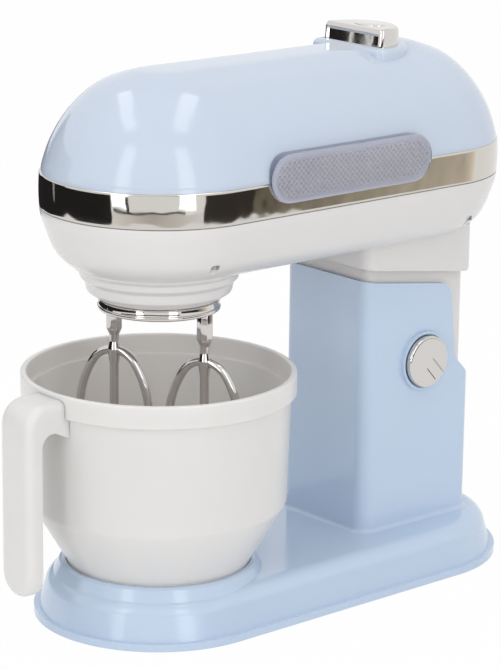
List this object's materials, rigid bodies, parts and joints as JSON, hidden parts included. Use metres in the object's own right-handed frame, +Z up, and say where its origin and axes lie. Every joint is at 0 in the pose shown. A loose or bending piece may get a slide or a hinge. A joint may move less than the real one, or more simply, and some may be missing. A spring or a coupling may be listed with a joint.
{
  "type": "toy stand mixer",
  "caption": "Toy stand mixer with a tilting head, turning beaters, lift-out bowl with a grip, side knob and press button on top.",
  "frame": {"origin": "on the floor under the axis of the bowl", "axes": "+Z up; -Y is the nose of the head and the bowl's handle, +Y the column; +X the side with the knob"},
  "size_m": [0.14, 0.3115, 0.2909],
  "materials": {
    "white_plastic": "gloss white moulded ABS",
    "blue_plastic": "gloss pastel blue moulded ABS",
    "chrome_plating": "chrome plating on plastic",
    "bowl_plastic": "gloss white moulded polypropylene",
    "beater_metal": "chrome plating on plastic",
    "clear_lens": "clear moulded acrylic with a diamond prism pattern",
    "foot_rubber": "matt",
    "screw_steel": "zinc plated",
    "contact_metal": "nickel plated spring steel",
    "black_plastic": "matt",
    "circuit_board": "solder resist",
    "battery_sleeve": "printed-free sleeve",
    "lamp_body": "clear epoxy",
    "motor_can": "drawn steel can",
    "gear_plastic": "acetal",
    "bush_brass": "turned"
  },
  "bodies": {
    "base": {"body_shell": "blue_plastic", "bottom_plate": "white_plastic", "rubber_feet": "foot_rubber", "base_screws": "screw_steel", "speaker": "black_plastic", "bowl_seat": "blue_plastic", "tower": "white_plastic", "hinge_pin": "screw_steel", "battery_tray": "white_plastic", "batteries": "battery_sleeve", "battery_contacts": "contact_metal", "main_board": "circuit_board", "rotary_switch": "black_plastic", "knob_bezel": "blue_plastic"},
    "knob": {"knob": "chrome_plating", "knob_pointer": "black_plastic"},
    "battery_door": {"battery_door": "blue_plastic", "door_screw": "screw_steel"},
    "bowl": {"bowl": "bowl_plastic"},
    "head": {"head_lower": "white_plastic", "drive_collar": "white_plastic", "head_upper": "blue_plastic", "trim_band": "chrome_plating", "lens_right": "clear_lens", "lens_left": "clear_lens", "lamp_boards": "circuit_board", "lamps": "lamp_body", "button_bezel": "blue_plastic", "button_board": "circuit_board", "button_switch": "black_plastic", "button_spring": "contact_metal", "gearbox_plate": "white_plastic", "gearbox_lid": "white_plastic", "gearbox_screws": "screw_steel", "shaft_bushes": "bush_brass", "motor": "motor_can", "head_screws": "screw_steel"},
    "top_button": {"top_button": "chrome_plating"},
    "drive": {"carrier": "white_plastic", "carrier_ring": "chrome_plating", "carrier_shaft": "screw_steel", "carrier_gear": "gear_plastic", "shaft_clip": "contact_metal"},
    "pinion": {"motor_shaft": "screw_steel", "motor_pinion": "bush_brass"},
    "beater_right": {"beater_right": "beater_metal", "beater_right_shank": "screw_steel"},
    "beater_left": {"beater_left": "beater_metal", "beater_left_shank": "screw_steel"}
  },
  "joints": [
    {"name": "head_tilt", "type": "hinge", "parent": "base", "child": "head", "pos_m": [0, 0.168, 0.172], "axis": [-1, 0, 0], "range_deg": [0, 45]},
    {"name": "drive_spin", "type": "hinge", "parent": "head", "child": "drive", "pos_m": [0, 0, 0.17], "axis": [0, 0, 1], "continuous": true},
    {"name": "pinion_spin", "type": "hinge", "parent": "head", "child": "pinion", "pos_m": [0, 0.036, 0.195], "axis": [0, 0, 1], "continuous": true},
    {"name": "beater_right_pull", "type": "slide", "parent": "drive", "child": "beater_right", "axis": [0, 0, -1], "range_m": [0, 0.012]},
    {"name": "beater_left_pull", "type": "slide", "parent": "drive", "child": "beater_left", "axis": [0, 0, -1], "range_m": [0, 0.012]},
    {"name": "top_button_press", "type": "slide", "parent": "head", "child": "top_button", "axis": [0, 0, -1], "range_m": [0, 0.0025], "stiffness_N_per_m": 400, "springref_m": -0.003, "deforming": ["button_spring"]},
    {"name": "knob_turn", "type": "hinge", "parent": "base", "child": "knob", "pos_m": [0.034, 0.1543, 0.113], "axis": [1, 0, 0], "range_deg": [0, 90]},
    {"name": "bowl_lift", "type": "slide", "parent": "base", "child": "bowl", "axis": [0, 0, 1], "range_m": [0, 0.015]},
    {"name": "battery_door_pull", "type": "slide", "parent": "base", "child": "battery_door", "axis": [0, 1, 0], "range_m": [0, 0.02]}
  ],
  "couplings": [
    {"joint": "pinion_spin", "follows": "drive_spin", "ratio": -4}
  ]
}
